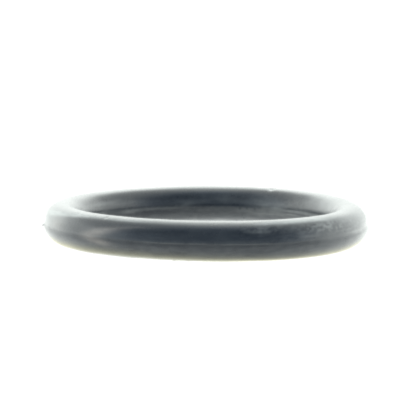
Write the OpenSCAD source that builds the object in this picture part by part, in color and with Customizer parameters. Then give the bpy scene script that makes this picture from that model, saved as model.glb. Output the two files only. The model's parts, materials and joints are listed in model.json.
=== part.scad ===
// Rubber o-ring, moulded as one solid ring of round section.
// A thin ridge runs round it, inside and outside, where the two mould halves met,
// and a small torn tag of the same flash stands out of the ridge at one place.
// Sizes are in millimetres. The ring lies flat, with its axis on Z and its centre at the origin.

/* [Ring] */
// Bore of the ring, measured on the rubber and not on the ridge
inner_d = 19; // [8:0.5:60]
// Thickness of the round section
section_d = 3; // [1.6:0.1:6]

/* [Parting ridge] */
// How far the ridge stands out of the ring's outer side
ridge_out = 0.05; // [0.02:0.01:0.1]
// How far the ridge stands into the bore
ridge_in = 0.05; // [0.02:0.01:0.1]
// Thickness of the ridge along its trimmed edge
ridge_edge_t = 0.1; // [0.06:0.01:0.16]
// Slope of the ridge's two flanks, in degrees from the mid-plane
ridge_slope = 25; // [0:5:45]
// How deep the flanks run into the round section
ridge_root = 0.12; // [0.05:0.01:0.2]

/* [Flash tag] */
// How far the torn tag stands past the ridge
tag_l = 0.15; // [0.05:0.05:0.5]
// Width of the tag where it leaves the ridge
tag_root_w = 0.5; // [0.2:0.05:1.5]
// Width of the tag at its torn tip
tag_tip_w = 0.15; // [0.05:0.05:0.2]
// Thickness of the tag
tag_t = 0.06; // [0.03:0.01:0.06]
// Place of the tag round the ring, in degrees from the X axis
tag_angle = 190; // [0:5:355]

/* [Hidden] */
$fn = 180;

rubber = [0.11, 0.12, 0.14];

section_r = section_d / 2;
// From the ring's axis to the middle of its section
ring_r = inner_d / 2 + section_r;
bore_r = ring_r - section_r - ridge_in;
rim_r = ring_r + section_r + ridge_out;

// Half the ridge's thickness at a distance in from its edge
function ridge_half_t(depth) = ridge_edge_t / 2 + depth * tan(ridge_slope);

// One side of the ridge: edge is its trimmed radius, and dir is the way that it points
function ridge_side(edge, height, dir) =
    let (depth = height + ridge_root)
    [
        [edge - dir * depth, -dir * ridge_half_t(depth)],
        [edge, -dir * ridge_edge_t / 2],
        [edge, dir * ridge_edge_t / 2],
        [edge - dir * depth, dir * ridge_half_t(depth)]
    ];

// The section as it is cut across: the round, and the ridge on both sides of it
module section() {
    translate([ring_r, 0]) circle(r = section_r);
    polygon(concat(ridge_side(rim_r, ridge_out, 1), ridge_side(bore_r, ridge_in, -1)));
}

// The torn tag, from inside the rubber out past the ridge
module flash_tag() {
    rotate([0, 0, tag_angle])
        translate([0, 0, -tag_t / 2])
            linear_extrude(height = tag_t)
                polygon([
                    [ring_r, -tag_root_w / 2],
                    [rim_r, -tag_root_w / 2],
                    [rim_r + tag_l, -tag_tip_w / 2],
                    [rim_r + tag_l, tag_tip_w / 2],
                    [rim_r, tag_root_w / 2],
                    [ring_r, tag_root_w / 2]
                ]);
}

module o_ring() {
    color(rubber) {
        rotate_extrude() section();
        flash_tag();
    }
}

o_ring();
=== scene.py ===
import json
import math

import bpy
import numpy as np
from mathutils import Matrix, Vector


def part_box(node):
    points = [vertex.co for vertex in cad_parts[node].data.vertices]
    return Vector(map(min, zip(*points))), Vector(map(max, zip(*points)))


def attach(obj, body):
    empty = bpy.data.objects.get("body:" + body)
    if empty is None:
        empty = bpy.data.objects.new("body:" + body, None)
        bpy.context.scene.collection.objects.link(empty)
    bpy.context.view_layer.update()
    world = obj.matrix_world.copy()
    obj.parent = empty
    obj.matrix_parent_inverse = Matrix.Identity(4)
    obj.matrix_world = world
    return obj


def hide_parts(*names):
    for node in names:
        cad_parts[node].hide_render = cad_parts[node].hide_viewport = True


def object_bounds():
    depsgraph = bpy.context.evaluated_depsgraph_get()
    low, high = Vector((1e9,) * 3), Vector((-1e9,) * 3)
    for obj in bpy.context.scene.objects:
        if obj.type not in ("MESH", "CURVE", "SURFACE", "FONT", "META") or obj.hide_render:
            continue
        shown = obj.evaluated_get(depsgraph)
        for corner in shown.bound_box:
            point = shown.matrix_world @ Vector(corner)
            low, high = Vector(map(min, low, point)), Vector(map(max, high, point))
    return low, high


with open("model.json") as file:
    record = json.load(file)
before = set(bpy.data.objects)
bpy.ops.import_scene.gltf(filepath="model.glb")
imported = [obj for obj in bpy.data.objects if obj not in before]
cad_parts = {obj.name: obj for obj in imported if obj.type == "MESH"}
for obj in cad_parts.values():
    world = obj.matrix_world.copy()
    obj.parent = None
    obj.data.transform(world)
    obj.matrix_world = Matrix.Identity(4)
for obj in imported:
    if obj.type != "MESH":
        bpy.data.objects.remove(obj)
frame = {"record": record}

# A black rubber o-ring lies flat on a bright white table, seen from low in front.
# Sizes are in millimetres until a mesh is made, angles are in degrees.
mm = 0.001
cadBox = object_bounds()

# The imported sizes: edges of the inner and outer ridge, and the top of the round section
mountRadius = {mount["name"]: mount["dims"]["r_mm"] for mount in frame["record"]["mounts"]}
boreRadius = mountRadius["bore"]
rimRadius = mountRadius["rim"]
ringRadius = (boreRadius + rimRadius) / 2
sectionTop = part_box("o_ring")[1][2] / mm
print("frame: ring radius", ringRadius, "section top", round(sectionTop, 4))


def addObject(name, data):
    made = bpy.data.objects.new(name, data)
    bpy.context.scene.collection.objects.link(made)
    return made


# Camera

camera = {
    "distance": 176.0,  # from the ring's centre
    "elevation": 7.46,
    "focalPixels": 2284.0,  # on a picture 416 pixels wide
    "pictureWidth": 416,
    "sensor": 36.0,
    "turn": 0.048,  # to the right of the ring's centre
    "lift": 0.34,  # above the ring's centre
    "roll": 0.389,
    "clip": (0.005, 20.0),  # in metres
}


def makeCamera():
    up = Vector((0, 0, 1))
    tilt = math.radians(camera["elevation"])
    place = camera["distance"] * Vector((0, -math.cos(tilt), math.sin(tilt)))
    ahead = -place.normalized()
    side = Vector((1, 0, 0))
    lift = math.radians(camera["lift"])
    turn = math.radians(camera["turn"])
    look = ahead * math.cos(turn) * math.cos(lift) + side * math.sin(turn) * math.cos(lift)
    look += side.cross(ahead) * math.sin(lift)
    right = look.cross(up).normalized()
    upright = right.cross(look)
    roll = math.radians(camera["roll"])
    rolledRight = right * math.cos(roll) + upright * math.sin(roll)
    rolledUp = upright * math.cos(roll) - right * math.sin(roll)
    data = bpy.data.cameras.new("camera")
    data.sensor_width = camera["sensor"]
    data.lens = camera["focalPixels"] * camera["sensor"] / camera["pictureWidth"]
    data.clip_start, data.clip_end = camera["clip"]
    eye = addObject("camera", data)
    axes = Matrix((rolledRight, rolledUp, -look)).transposed()
    eye.matrix_world = Matrix.Translation(place * mm) @ axes.to_4x4()
    bpy.context.scene.camera = eye
    print("camera: made")


# Shader wires

class Wire:
    # A socket of a node tree. Sums of wires and numbers add the Math nodes for them.
    def __init__(self, tree, socket=None):
        self.tree = tree
        self.socket = socket

    def node(self, kind, settings=None, values=None, out=0):
        # The tree's own kind gives the start of the node's type, such as ShaderNode
        made = self.tree.nodes.new(self.tree.bl_idname.removesuffix("Tree") + kind)
        for name, setting in (settings or {}).items():
            setattr(made, name, setting)
        for name, value in (values or {}).items():
            if isinstance(value, Wire):
                self.tree.links.new(value.socket, made.inputs[name])
            else:
                made.inputs[name].default_value = value
        return Wire(self.tree, made.outputs[out] if made.outputs else None)

    def other(self, out):
        # Another output of the node that this wire comes from
        return Wire(self.tree, self.socket.node.outputs[out])

    def math(self, operation, *values):
        return self.node("Math", {"operation": operation}, dict(enumerate(values)))

    def __add__(self, other):
        return self.math("ADD", self, other)

    def __radd__(self, other):
        return self.math("ADD", other, self)

    def __sub__(self, other):
        return self.math("SUBTRACT", self, other)

    def __rsub__(self, other):
        return self.math("SUBTRACT", other, self)

    def __mul__(self, other):
        return self.math("MULTIPLY", self, other)

    def __rmul__(self, other):
        return self.math("MULTIPLY", other, self)

    def __truediv__(self, other):
        return self.math("DIVIDE", self, other)

    def size(self):
        return self.math("ABSOLUTE", self)

    def rise(self, low, high):
        # 0 below low, 1 above high, and smooth between them
        settings = {"interpolation_type": "SMOOTHSTEP"}
        return self.node("MapRange", settings, {"Value": self, "From Min": low, "From Max": high})


def mixColour(wire, mask, low, high):
    # The Mix node keeps its colours at sockets 6 and 7, and their mix at output 2
    return wire.node("Mix", {"data_type": "RGBA"}, {0: mask, 6: low, 7: high}, out=2)


def emptyTree(owner):
    owner.use_nodes = True
    owner.node_tree.nodes.clear()
    return Wire(owner.node_tree)


# Studio

studio = {
    "room": 0.55,  # radiance of the dark room behind the camera
    "roomTint": (0.82, 1.0, 1.2, 1),
    "walls": 3.2,
    "wallsAt": (-0.84, -0.12),  # from front to back, along +Y
    "wallsLean": 0.53,  # how much further back they start overhead
    "screen": 2.2,  # the screen behind the ring, which leans in over it
    "screenTop": 4.6,  # added towards its upper edge, nearest the lamps
    "screenTopAt": (0.0, 0.93),
    "screenAt": (0.38, 0.83),
    "screenSpread": 0.73,
    "gap": 0.42,  # darker corners between the screen's top and the walls
    "gapAcross": (0.0, 0.31),
    "gapUp": (0.5, 0.64),
    "lean": 0.075,  # how much brighter the left is, and darker the right
    "tint": (0.955, 1.0, 0.965, 1),
    "seen": 1.15,  # radiance that the camera sees round the ring
}
table = {
    "half": 900.0,
    "middle": 0.85,
    "near": 0.9,  # added near the ring, which throws light back on it
    "nearAt": (1.0, 5.0),
    "shade": 0.5,  # how much of it the ring keeps off its inside
    "shadeAt": (7.0, 12.0),
    "sides": 2.0,  # added away from the ring's shade, to the left and the right
    "sidesAt": (1.0, 34.0),
    "sidesFront": (-18.0, -9.0),
    "back": 0.5,  # added towards the screen
    "backAt": (-16.0, 16.0),
    "edgeAt": (-60.0, -35.0),  # it fades out towards the room
    "under": 1.6,  # added close under the front and the back of the ring
    "underAt": (0.45, 1.4),
    "underAcross": (2.0, 10.0),
    "white": (0.2, 0.2, 0.2, 1),
    "tint": (0.97, 1.0, 0.96, 1),
    "tintUnder": (1.0, 0.97, 0.68, 1),  # warmer close outside the ring
    "tintAt": (0.5, 2.2),
    "tintStart": 1.0,  # it sets in over this much past the tube's middle
    "roughness": 0.8,
}


def seenOrLit(wire, lit, seen):
    # One look for the light, and another for what the camera sees directly
    cameraRay = wire.node("LightPath", out="Is Camera Ray")
    return wire.node("MixShader", values={0: cameraRay, 1: lit, 2: seen})


def makeStudio():
    world = bpy.data.worlds.new("studio")
    bpy.context.scene.world = world
    wire = emptyTree(world)
    way = wire.node("SeparateXYZ", values={"Vector": wire.node("TexCoord", out="Generated")})
    aside, along, upward = way.size(), way.other("Y"), way.other("Z")
    lean = 1 - studio["lean"] * way
    walls = (along - studio["wallsLean"] * upward).rise(*studio["wallsAt"])
    screen = (along - studio["screenSpread"] * aside).rise(*studio["screenAt"])
    gap = aside.rise(*studio["gapAcross"]) * upward.rise(*studio["gapUp"])
    glow = studio["room"] + (studio["walls"] - studio["room"]) * walls
    behind = studio["screen"] - studio["walls"]
    behind = behind + studio["screenTop"] * upward.rise(*studio["screenTopAt"])
    glow = (glow + behind * screen) * (1 - studio["gap"] * gap) * lean
    tint = mixColour(wire, walls, studio["roomTint"], studio["tint"])
    lit = wire.node("Background", values={"Color": tint, "Strength": glow})
    seen = wire.node("Background", values={"Strength": studio["seen"]})
    wire.node("OutputWorld", values={"Surface": seenOrLit(wire, lit, seen)})
    print("studio: made")


def makeTable():
    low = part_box("o_ring")[0][2]
    half = table["half"] * mm
    mesh = bpy.data.meshes.new("table")
    corners = [(-half, -half, low), (half, -half, low), (half, half, low), (-half, half, low)]
    mesh.from_pydata(corners, [], [(0, 1, 2, 3)])
    board = addObject("table", mesh)
    finish = bpy.data.materials.new("bright table")
    wire = emptyTree(finish)
    spot = wire.node("TexCoord", out="Object")
    place = wire.node("SeparateXYZ", values={"Vector": spot})
    aside, along = place.size() / mm, place.other("Y") / mm
    fromMiddle = wire.node("VectorMath", {"operation": "LENGTH"}, {0: spot}, out="Value") / mm
    fromTube = (fromMiddle - ringRadius).size()
    most = table["middle"] + table["near"] + table["sides"] + table["back"] + table["under"]
    glow = table["middle"] + table["near"] * (1 - fromTube.rise(*table["nearAt"]))
    glow = glow + table["back"] * along.rise(*table["backAt"])
    glow = glow + table["sides"] * aside.rise(*table["sidesAt"]) * along.rise(*table["sidesFront"])
    glow = glow * (1 - table["shade"] * (1 - fromMiddle.rise(*table["shadeAt"])))
    under = (1 - fromTube.rise(*table["underAt"])) * (1 - aside.rise(*table["underAcross"]))
    glow = (glow + table["under"] * under) * along.rise(*table["edgeAt"]) / most
    outside = fromMiddle.rise(ringRadius, ringRadius + table["tintStart"])
    warm = outside * (1 - fromTube.rise(*table["tintAt"]))
    tint = mixColour(wire, warm, table["tint"], table["tintUnder"])
    shade = mixColour(wire, glow, (0, 0, 0, 1), tint)
    surface = wire.node("BsdfPrincipled", values={
        "Base Color": table["white"],
        "Roughness": table["roughness"],
        "Emission Color": shade,
        "Emission Strength": most,
    })
    seen = wire.node("Emission", values={"Color": (1, 1, 1, 1), "Strength": studio["seen"]})
    wire.node("OutputMaterial", values={"Surface": seenOrLit(wire, surface, seen)})
    mesh.materials.append(finish)
    print("table: made")


# Ring

ring = {
    "seed": 19,
    "pointsAround": 900,
    "pointsAcross": 100,
    "crowding": 0.7,  # how much closer the points lie at the ridge, from 0 to 1
    "lobes": (-0.17, -0.08),  # out of round, as the soft ring lies
    "roll": 1.0,  # the section's turn about its own centre
    "slack": 0.012,  # how far the rubber stays inside its nominal section
    "waves": 0.008,  # soft unevenness of the surface
    "waveCells": (60, 7),
}
ridge = {
    "outer": 0.45,  # share of its full height that the trimming left
    "inner": 0.18,
    "half": 0.02,
    "flank": 0.06,
    "ragged": 0.5,  # share of its height that comes and goes
    "raggedCells": 70,
    "raggedAt": (-0.2, 0.9),
    "torn": 0.5,  # share that torn spots lack
    "tornCells": 160,
    "tornAt": (0.55, 0.8),
    "fine": 0.12,  # share that fine notches lack
    "fineCells": 420,
    "least": 0.12,  # share that stays everywhere
    "wander": 0.015,
    "wanderCells": 24,
    # Lines along it: pale dust that also brightens its highlight as a painted highlight, a painted shadow
    # line just under it, and a paler band lower down. Each is how far above its middle, half width, how
    # much it adds or lacks
    "dust": [(0.02, 0.11, 0.08), (-0.18, 0.07, -0.03), (-0.42, 0.16, 0.015)],
    "smooth": [(336, 33, 1.0), (214, 12, 0.8)],  # where it is rubbed down: angle, half length, share
    "smoothInner": [(56, 9, 1.0), (134, 22, 0.85)],
}
tag = {
    "angle": 190.6,
    "length": 0.15,
    "half": 0.28,
    "flat": 0.1,  # share of its half width that has the full length
    "tail": 0.03,  # the low flash that runs on from it
    "tailAt": 192.5,
    "tailHalf": 0.7,
    "tailFlat": 0.5,
    "droop": 0.14,  # how far its tip hangs
}


def smoothStep(low, high, value):
    share = np.clip((value - low) / (high - low), 0, 1)
    return share * share * (3 - 2 * share)


def plateau(away, half, flat):
    # 1 in the flat middle share of a width, and down to 0 at its edges
    return 1 - smoothStep(flat * half, half, away)


def loopNoise(random, cells, places):
    # Smooth noise from -1 to 1 on a loop, where places run from 0 to 1
    knots = random.uniform(-1, 1, cells)
    spot = places * cells
    start = np.floor(spot).astype(int)
    share = smoothStep(0, 1, spot - start)
    return knots[start % cells] * (1 - share) + knots[(start + 1) % cells] * share


def skinNoise(random, cellsAround, cellsAcross, around, across):
    # The same on the ring's skin, which closes on itself both ways
    knots = random.uniform(-1, 1, (cellsAround, cellsAcross))
    spotA, spotB = around * cellsAround, across * cellsAcross
    startA, startB = np.floor(spotA).astype(int), np.floor(spotB).astype(int)
    shareA, shareB = smoothStep(0, 1, spotA - startA), smoothStep(0, 1, spotB - startB)
    nextA, nextB = (startA + 1) % cellsAround, (startB + 1) % cellsAcross
    startA, startB = startA % cellsAround, startB % cellsAcross
    low = knots[startA, startB] * (1 - shareB) + knots[startA, nextB] * shareB
    high = knots[nextA, startB] * (1 - shareB) + knots[nextA, nextB] * shareB
    return low * (1 - shareA) + high * shareA


def layeredNoise(random, layers, around, across):
    # Layers of skin noise, each with its cells both ways and its strength
    total = 0
    for cellsAround, cellsAcross, strength in layers:
        total = total + strength * skinNoise(random, cellsAround, cellsAcross, around, across)
    return total


def ridgeHeight(random, around, full):
    # The trimmed edge is ragged: mostly full height, with worn and torn stretches
    worn = smoothStep(*ridge["raggedAt"], loopNoise(random, ridge["raggedCells"], around)) * ridge["ragged"]
    torn = smoothStep(*ridge["tornAt"], loopNoise(random, ridge["tornCells"], around)) * ridge["torn"]
    fine = ridge["fine"] * loopNoise(random, ridge["fineCells"], around)
    return full * np.clip(1 - worn - torn - np.abs(fine), ridge["least"], 1)


def rubbedDown(phi, height, places):
    # Lowers the ridge round each of the places, by its share of the height
    for angle, spread, share in places:
        away = (np.degrees(phi) - angle + 180) % 360 - 180
        height = height * (1 - share * np.exp(-(away / spread) ** 4))
    return height


# A greasy smear at the front left, as strokes: angle round the ring, angle round the section
# (0 outside, 90 on top), half length along the ring, half width across it, strength and slope
smears = [
    (229.5, 14, 1.2, 0.32, 0.30, 0.20),
    (225, 2, 0.7, 0.24, 0.10, 0.0),
    (234, 24, 1.3, 0.24, 0.15, 0.16),
    (240, 34, 1.5, 0.11, 0.14, 0.12),
    (250, 41, 1.5, 0.08, 0.08, 0.05),
    (230, -12, 1.0, 0.24, 0.28, -0.10),
    (206, 20, 1.2, 0.45, 0.16, 0.0),
]
# Marks on the skin, in the same terms: the strength is how much pale bloom each adds or lacks. Most are
# patches of dust bloom; the strips along the top rim are a painted highlight, and the two just below it
# that lack bloom are painted shade over its reflection.
bloomMarksAndPaintedLight = [
    # Painted shade: these two lack bloom to darken the reflection just below the top rim's highlight
    (219, 21, 0.9, 0.45, -0.04, 0.0),
    (228, 48, 3.4, 0.14, -0.05, 0.0),
    (206, 22, 1.3, 0.50, 0.08, 0.0),  # left end
    (203, -22, 2.0, 0.40, 0.06, 0.0),
    (198, 38, 2.8, 0.80, 0.18, 0.0),
    (198, 46, 2.4, 0.20, 1.0, 0.08),  # rim, from the left: strips of painted highlight along the top rim
    (209, 50, 1.6, 0.11, 0.70, 0.07),
    (195, 30, 1.0, 0.40, 0.24, 0.0),
    (217, 59, 2.2, 0.13, 0.65, 0.03),
    (216, 68, 2.2, 0.16, 0.38, 0.03),
    (232, 67, 3.4, 0.15, 0.48, 0.01),
    (246, 60, 2.8, 0.10, 0.26, 0.0),
    (250, 67, 2.5, 0.10, 0.18, 0.0),
    (272, 61, 3.2, 0.09, 0.12, 0.0),
    (293, 63, 2.0, 0.18, 0.52, 0.0),
    (306, 66, 2.4, 0.24, 0.88, 0.0),
    (320, 59, 1.6, 0.20, 0.28, -0.02),
    (288, 32, 0.8, 0.12, 0.22, 0.0),  # front right
    (290, 43, 1.2, 0.07, -0.04, 0.05),
    (315, 35, 2.0, 0.45, 0.06, 0.0),
    (326, 45, 1.6, 0.22, 0.14, 0.0),
    (335, 24, 1.6, 0.40, 0.12, 0.0),
    (341, 27, 1.6, 0.09, 0.16, 0.06),
    (339, -14, 1.6, 0.25, 0.20, 0.0),
    (344, -12, 2.0, 0.40, 0.22, 0.0),
    (345, 13, 0.9, 0.22, -0.14, 0.0),
    (334, 16, 0.9, 0.18, 0.08, 0.0),
    (336, -21, 0.6, 0.11, -0.08, 0.3),
    (326, -16, 3.6, 0.50, 0.06, 0.0),
    (317, 8, 2.6, 0.45, 0.04, 0.0),
    (346, 45, 2.2, 0.80, 0.14, 0.0),
    (249, -58, 3.4, 0.30, -0.07, 0.0),
    (20, 128, 3.4, 0.80, 0.22, 0.0),  # inside of the far right
    (33, 140, 2.0, 0.60, 0.07, 0.0),
    (60, 175, 1.0, 0.20, 0.16, 0.0),
    (77, 150, 3.0, 0.32, 0.09, 0.0),
    (72, 164, 1.4, 0.12, 0.04, 0.0),
    (58, 164, 1.5, 0.45, 0.15, 0.0),
    (50, 192, 3.0, 0.40, 0.09, 0.0),
    (40, 181, 2.0, 0.09, 0.26, 0.0),
    (33, 178, 2.2, 0.12, 0.36, 0.0),
    (85, 162, 4.6, 0.28, 0.05, 0.0),
    (80, 174, 2.8, 0.09, -0.07, 0.0),
    (82, 186, 3.0, 0.20, 0.05, 0.0),
    (60, 193, 2.8, 0.36, 0.12, 0.0),
    (62, 143, 1.4, 0.30, 0.07, 0.0),
    (60.5, 103, 0.22, 0.30, 0.95, 0.0),
    (42, 148, 2.2, 0.25, -0.05, 0.0),
    (45, 108, 2.8, 0.16, -0.06, 0.0),
    (95, 106, 3.5, 0.14, 0.16, 0.0),  # inside of the far left
    (119, 108, 1.6, 0.15, -0.06, 0.0),
    (152, 133, 3.2, 0.22, -0.07, 0.0),
    (155, 150, 2.4, 0.14, 0.16, 0.0),
    (129, 166, 2.2, 0.16, -0.06, 0.0),
    (131, 184, 0.9, 0.17, 0.22, 0.0),
    (120, 181, 2.4, 0.13, 0.18, 0.0),
    (118, 196, 2.6, 0.14, -0.05, 0.0),
    (157, 177, 1.6, 0.10, 0.22, 0.0),
    (101, 171, 0.9, 0.30, 0.10, 0.0),
]
# Rubbed places, full of fine flecks: the same without a slope
rubs = [
    (312, 37, 1.9, 0.42, 0.42),
    (325, 30, 2.2, 0.50, 0.16),
    (289, 45, 1.4, 0.40, 0.22),
    (342, 8, 2.0, 0.80, 0.26),
    (48, 155, 2.8, 0.50, 0.10),
    (200, 12, 2.0, 0.50, 0.10),
]
# Places wiped along the ring, as the rubbed ones
wipes = [
    (300, 22, 2.4, 0.50, 0.16),
    (331, 14, 2.2, 0.50, 0.34),
    (258, 18, 3.0, 0.50, 0.05),
    (150, 152, 3.0, 0.40, 0.12),
    (55, 170, 2.6, 0.50, 0.14),
    (48, 192, 2.4, 0.30, 0.20),
    (92, 186, 2.4, 0.30, 0.06),
]
# Dark specks: angle, section, how much bloom they lack
specks = [(230, 70, 0.6), (345, -4, 0.3), (73.5, 184, 0.15), (70, 183, 0.15), (66, 184, 0.15)]
# Nicks and lumps in the skin: angle, section, half length, half width and height in millimetres
nicks = [
    (60.5, 96, 0.22, 0.26, -0.12),
    (258.5, -73, 0.14, 0.12, 0.030),
    (263.5, -74, 0.18, 0.12, 0.025),
    (230, 71, 0.12, 0.12, -0.05),
]
# Settings for the bloom, which also carries the marks' painted highlight and painted shade
haze = {
    "base": 0.03,
    "under": 0.06,  # dust picked up from the table
    "underAt": (0.25, 0.95),
    "underBlotches": 0.3,
    "streaks": 0.30,  # share that comes and goes along the ring
    "blotches": 0.45,
    "calm": 0.5,  # how much less the marks vary
    "smearVaries": 0.2,
    "speckSize": 0.09,
    "grain": 0.038,  # fine dust on the lower half, and at one more place
    "grainAt": (-0.1, 0.3),
    "grainPlace": (296, 22, 4.0, 0.8, 1.0, 0.0),
    "fleckAt": (-0.5, 0.9),
    "wipedAt": (-0.1, 0.8),
    # Layers of noise: cells round the ring, cells round the section, strength
    "blotchLayers": [(62, 19, 1.0), (170, 40, 0.7), (430, 60, 0.3)],
    "streakLayers": [(34, 47, 1.0), (90, 90, 0.6)],
    "fleckLayers": [(300, 54, 1.0), (560, 90, 0.7)],
    "wipedLayers": [(40, 64, 1.0)],
    "grainLayers": [(170, 96, 1.0)],
}


def skinDistance(phi, turn, angle, section, reach):
    # How far a place is from a mark, along the ring and across its section
    along = (phi - math.radians(angle) + np.pi) % (2 * np.pi) - np.pi
    across = (turn - math.radians(section) + np.pi) % (2 * np.pi) - np.pi
    return along * reach, across * sectionTop


def patch(phi, turn, reach, place):
    # A soft oval on the skin, turned by its slope
    angle, section, length, width, strength, slope = place
    along, beside = skinDistance(phi, turn, angle, section, reach)
    return strength * np.exp(-(along / length) ** 2 - ((beside - slope * along) / width) ** 2)


def skinBloomWithPaintedLight(random, around, phi, turn, reach):
    # Pale bloom and dust over the skin, a painted highlight and painted shade from some marks, and the
    # greasy smear
    across = turn / (2 * np.pi)
    blotch = layeredNoise(random, haze["blotchLayers"], around, across)
    streak = layeredNoise(random, haze["streakLayers"], around, across)
    fleck = smoothStep(*haze["fleckAt"], layeredNoise(random, haze["fleckLayers"], around, across))
    wiped = smoothStep(*haze["wipedAt"], layeredNoise(random, haze["wipedLayers"], around, across))
    grain = layeredNoise(random, haze["grainLayers"], around, across)
    varied = haze["blotches"] * blotch + haze["streaks"] * streak
    amount = haze["base"] * (1 + varied)
    # The marks: dust bloom, and the painted highlight and painted shade along the top rim
    for place in bloomMarksAndPaintedLight:
        amount = amount + patch(phi, turn, reach, place) * (1 + haze["calm"] * varied)
    for place in rubs:
        amount = amount + patch(phi, turn, reach, (*place, 0)) * fleck
    for place in wipes:
        amount = amount + patch(phi, turn, reach, (*place, 0)) * wiped
    lower = -np.sin(turn)
    whitened = haze["under"] * smoothStep(*haze["underAt"], lower)
    amount = amount + whitened * (1 + haze["underBlotches"] * blotch)
    grainy = smoothStep(*haze["grainAt"], lower) + patch(phi, turn, reach, haze["grainPlace"])
    amount = amount + haze["grain"] * grain * grainy
    size = haze["speckSize"]
    for angle, section, lack in specks:
        amount = amount - patch(phi, turn, reach, (angle, section, size, size, lack, 0))
    smear = sum(patch(phi, turn, reach, place) for place in smears)
    return amount, smear * (1 + haze["smearVaries"] * varied)


def makeRing():
    random = np.random.default_rng(ring["seed"])
    countA, countB = ring["pointsAround"], ring["pointsAcross"]
    around, even = np.meshgrid(np.arange(countA) / countA, np.arange(countB) / countB, indexing="ij")
    phi = around * 2 * np.pi
    turn = even * 2 * np.pi
    turn = turn - ring["crowding"] / 2 * np.sin(2 * turn)
    # The section's radius, with its soft waves, nicks and lumps
    radius = sectionTop - ring["slack"]
    radius = radius + ring["waves"] * skinNoise(random, *ring["waveCells"], around, turn / (2 * np.pi))
    for angle, section, length, width, height in nicks:
        along, beside = skinDistance(phi, turn, angle, section, ringRadius)
        radius = radius + height * np.exp(-(along / length) ** 2 - (beside / width) ** 2)
    # Distance along the section from the outer and the inner ridge
    wander = ridge["wander"] * loopNoise(random, ridge["wanderCells"], around)
    aboveOuter = ((turn + np.pi) % (2 * np.pi) - np.pi) * sectionTop - wander
    fromOuter = np.abs(aboveOuter)
    fromInner = np.abs((turn - np.pi) * sectionTop - wander)
    outer = 1 - smoothStep(ridge["half"], ridge["half"] + ridge["flank"], fromOuter)
    inner = 1 - smoothStep(ridge["half"], ridge["half"] + ridge["flank"], fromInner)
    outerHeight = ridgeHeight(random, around, ridge["outer"] * (rimRadius - ringRadius - sectionTop))
    outerHeight = rubbedDown(phi, outerHeight, ridge["smooth"])
    innerHeight = ridgeHeight(random, around, ridge["inner"] * (ringRadius - sectionTop - boreRadius))
    innerHeight = rubbedDown(phi, innerHeight, ridge["smoothInner"])
    # The torn tag and its low tail
    fromTag = np.abs(phi - math.radians(tag["angle"])) * rimRadius
    fromTail = np.abs(phi - math.radians(tag["tailAt"])) * rimRadius
    tagRise = tag["length"] * plateau(fromTag, tag["half"], tag["flat"])
    tagRise = np.maximum(tagRise, tag["tail"] * plateau(fromTail, tag["tailHalf"], tag["tailFlat"]))
    radius = radius + outer * (outerHeight + tagRise) + inner * innerHeight
    # Places on the ring, which lies a little out of round
    theta = turn + math.radians(ring["roll"])
    lobeA, lobeB = ring["lobes"]
    middle = ringRadius + lobeA * (np.cos(3 * phi) - np.cos(phi)) + lobeB * (np.sin(3 * phi) + np.sin(phi))
    reach = middle + radius * np.cos(theta)
    height = radius * np.sin(theta) - tag["droop"] * outer * tagRise / tag["length"]
    points = np.stack([reach * np.cos(phi), reach * np.sin(phi), height], axis=-1)
    points = np.clip(points.reshape(-1, 3) * mm, cadBox[0], cadBox[1])
    index = np.arange(countA * countB).reshape(countA, countB)
    ahead = np.roll(index, -1, 0)
    faces = np.stack([index, ahead, np.roll(ahead, -1, 1), np.roll(index, -1, 1)], -1)
    mesh = bpy.data.meshes.new("rubberRing")
    mesh.from_pydata(points.tolist(), [], faces.reshape(-1, 4).tolist())
    mesh.shade_smooth()
    # Bloom per point: dust bloom, with a painted highlight along the top rim and painted shade in a few
    # marks
    paleBloomAndPaintedLight, smear = skinBloomWithPaintedLight(random, around, phi, turn, reach)
    # The ridge's lines as bloom: dust with painted highlight on it, its painted shadow line and the paler
    # band below
    for above, wide, strength in ridge["dust"]:
        line = np.exp(-((aboveOuter - above) / wide) ** 2)
        paleBloomAndPaintedLight = paleBloomAndPaintedLight + strength * line * outerHeight / np.max(outerHeight)
    for name, amount in (("haze", paleBloomAndPaintedLight), ("smear", smear)):
        layer = mesh.attributes.new(name, "FLOAT", "POINT")
        layer.data.foreach_set("value", amount.reshape(-1))
    body = addObject("rubberRing", mesh)
    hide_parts("o_ring")
    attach(body, "root")
    print("ring:", len(mesh.polygons) * 2, "triangles")
    return body


# Rubber

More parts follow.
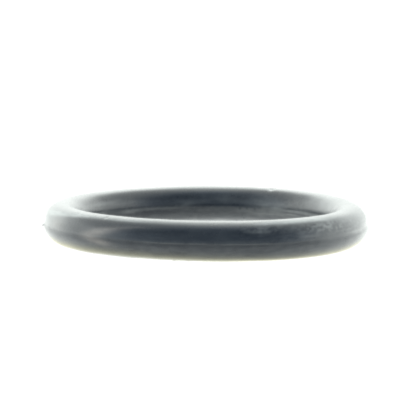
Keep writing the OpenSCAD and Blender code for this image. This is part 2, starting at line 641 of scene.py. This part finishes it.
rubber = {
    "deep": (0.007, 0.011, 0.018, 1),
    "worn": (0.019, 0.026, 0.033, 1),
    # The pale colour of the bloom, which also paints the highlight along the top rim
    "bloom": (0.31, 0.32, 0.31, 1),
    "grease": (0.36, 0.32, 0.285, 1),
    "wornShare": 0.4,
    "roughness": 0.27,
    "roughBloom": 0.15,  # how much rougher the bloom is
    "roughMottle": 0.12,  # how much it comes and goes
    "mottle": (600.0, 5.0),  # scale and detail
    "mottleAt": (0.2, 0.8),
    "grain": (9000.0, 4.0),
    "bump": 0.25,
    "bumpHeight": 0.02,
}


def skinTexture(wire, spot, scale, detail):
    values = {"Vector": spot, "Scale": scale, "Detail": detail}
    return wire.node("TexNoise", {"noise_dimensions": "3D"}, values)


def makeRubber():
    finish = bpy.data.materials.new("black rubber")
    wire = emptyTree(finish)
    spot = wire.node("TexCoord", out="Object")
    grain = skinTexture(wire, spot, *rubber["grain"])
    mottle = skinTexture(wire, spot, *rubber["mottle"])
    paleBloomAndPaintedLight = wire.node("Attribute", {"attribute_name": "haze"}, out="Fac")
    smear = wire.node("Attribute", {"attribute_name": "smear"}, out="Fac")
    worn = mottle.rise(*rubber["mottleAt"]) * rubber["wornShare"]
    # Rubber whitened by the bloom attribute: dust bloom, painted highlight and painted shade
    whitened = mixColour(wire, paleBloomAndPaintedLight, mixColour(wire, worn, rubber["deep"], rubber["worn"]), rubber["bloom"])
    colour = mixColour(wire, smear, whitened, rubber["grease"])
    rough = rubber["roughness"] + rubber["roughMottle"] * (mottle - 0.5) + rubber["roughBloom"] * paleBloomAndPaintedLight
    bump = wire.node("Bump", values={
        "Strength": rubber["bump"],
        "Distance": rubber["bumpHeight"] * mm,
        "Height": grain,
    })
    surface = wire.node("BsdfPrincipled", values={
        "Base Color": colour,
        "Roughness": rough,
        "Normal": bump,
    })
    wire.node("OutputMaterial", values={"Surface": surface})
    print("rubber: made")
    return finish


# Lens

lens = {
    "spread": 1.5,  # softness of the lens, in pixels
}


def makeLens():
    # The bright table spills a little over dark edges, as in any backlit close-up
    wire = emptyTree(bpy.context.scene)
    picture = wire.node("RLayers", out="Image")
    spread = (lens["spread"], lens["spread"])
    soft = wire.node("Blur", {"filter_type": "GAUSS"}, {"Image": picture, "Size": spread})
    wire.node("Composite", values={"Image": soft})
    print("lens: made")


makeCamera()
makeLens()
makeStudio()
makeTable()
ringPiece = makeRing()
ringPiece.data.materials.append(makeRubber())
bpy.context.scene.view_settings.view_transform = "Standard"
